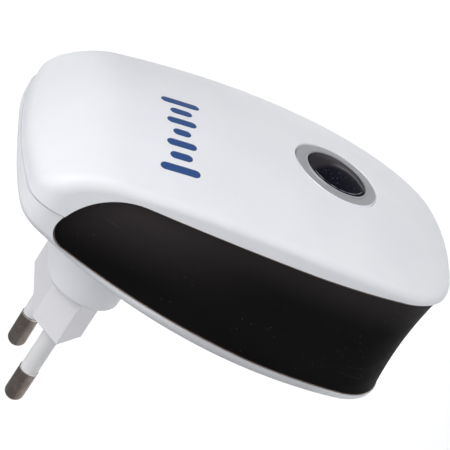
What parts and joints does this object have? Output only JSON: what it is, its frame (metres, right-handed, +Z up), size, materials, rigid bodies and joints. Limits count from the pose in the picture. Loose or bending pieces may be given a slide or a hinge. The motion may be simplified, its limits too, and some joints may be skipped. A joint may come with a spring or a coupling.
{
  "type": "ultrasonic pest repeller",
  "caption": "Plug-in ultrasonic pest repeller: barrel-shaped white housing with a concave black waist band, a smoked push key in a grey ring and a two-pin plug on the back.",
  "frame": {"origin": "centre of the plug's engagement face, midway between the pins", "axes": "+Z up along the housing's length, -Y out of the front face, +Y along the pins, X across the width"},
  "size_m": [0.0542, 0.07, 0.0841],
  "materials": {
    "white_shell": "satin white ABS",
    "black_band": "satin black",
    "grey_ring": "matt grey",
    "smoked_lens": "polished smoked",
    "frosted_clear": "frosted",
    "black_moulding": "moulded black",
    "white_plug": "satin white",
    "white_sleeve": "satin white",
    "nickel_pin": "nickel plated brass",
    "circuit_board": "green solder mask",
    "screw_steel": "zinc plated",
    "blue_led": "clear blue epoxy",
    "brass_disc": "rolled",
    "piezo_ceramic": "silvered ceramic",
    "foam_gasket": "closed-cell foam",
    "yellow_case": "moulded yellow box",
    "capacitor_sleeve": "shrink sleeve",
    "resistor_coat": "cement coat",
    "copper_coil": "enamelled winding",
    "surge_coat": "blue epoxy coat",
    "lead_brown": "PVC insulation",
    "lead_blue": "PVC insulation"
  },
  "bodies": {
    "housing": {"back_cover": "white_shell", "bezel_ring": "grey_ring", "board_screws": "screw_steel", "bridge_rectifier": "black_moulding", "controller_chip": "black_moulding", "cover_screws": "screw_steel", "driver_transistors": "black_moulding", "film_capacitor": "yellow_case", "front_cover": "white_shell", "fuse_resistor": "resistor_coat", "lead_left": "lead_brown", "lead_right": "lead_blue", "led_left": "blue_led", "led_right": "blue_led", "main_board": "circuit_board", "piezo_ceramic": "piezo_ceramic", "piezo_disc": "brass_disc", "pin_left": "nickel_pin", "pin_right": "nickel_pin", "pin_tab_left": "nickel_pin", "pin_tab_right": "nickel_pin", "plug_body": "white_plug", "side_band": "black_band", "sleeve_left": "white_sleeve", "sleeve_right": "white_sleeve", "smoothing_capacitor_1": "capacitor_sleeve", "smoothing_capacitor_2": "capacitor_sleeve", "sounder_cup": "black_moulding", "sounder_gasket": "foam_gasket", "step_up_coil": "copper_coil", "surge_disc": "surge_coat", "switch_base": "black_moulding"},
    "key": {"lens_button": "smoked_lens", "key_diffuser": "frosted_clear", "switch_stem": "black_moulding"}
  },
  "joints": [
    {"name": "key_press", "type": "slide", "parent": "housing", "child": "key", "axis": [0, 1, 0], "range_m": [0, 0.0008], "stiffness_N_per_m": 900, "springref_m": -0.0003}
  ]
}
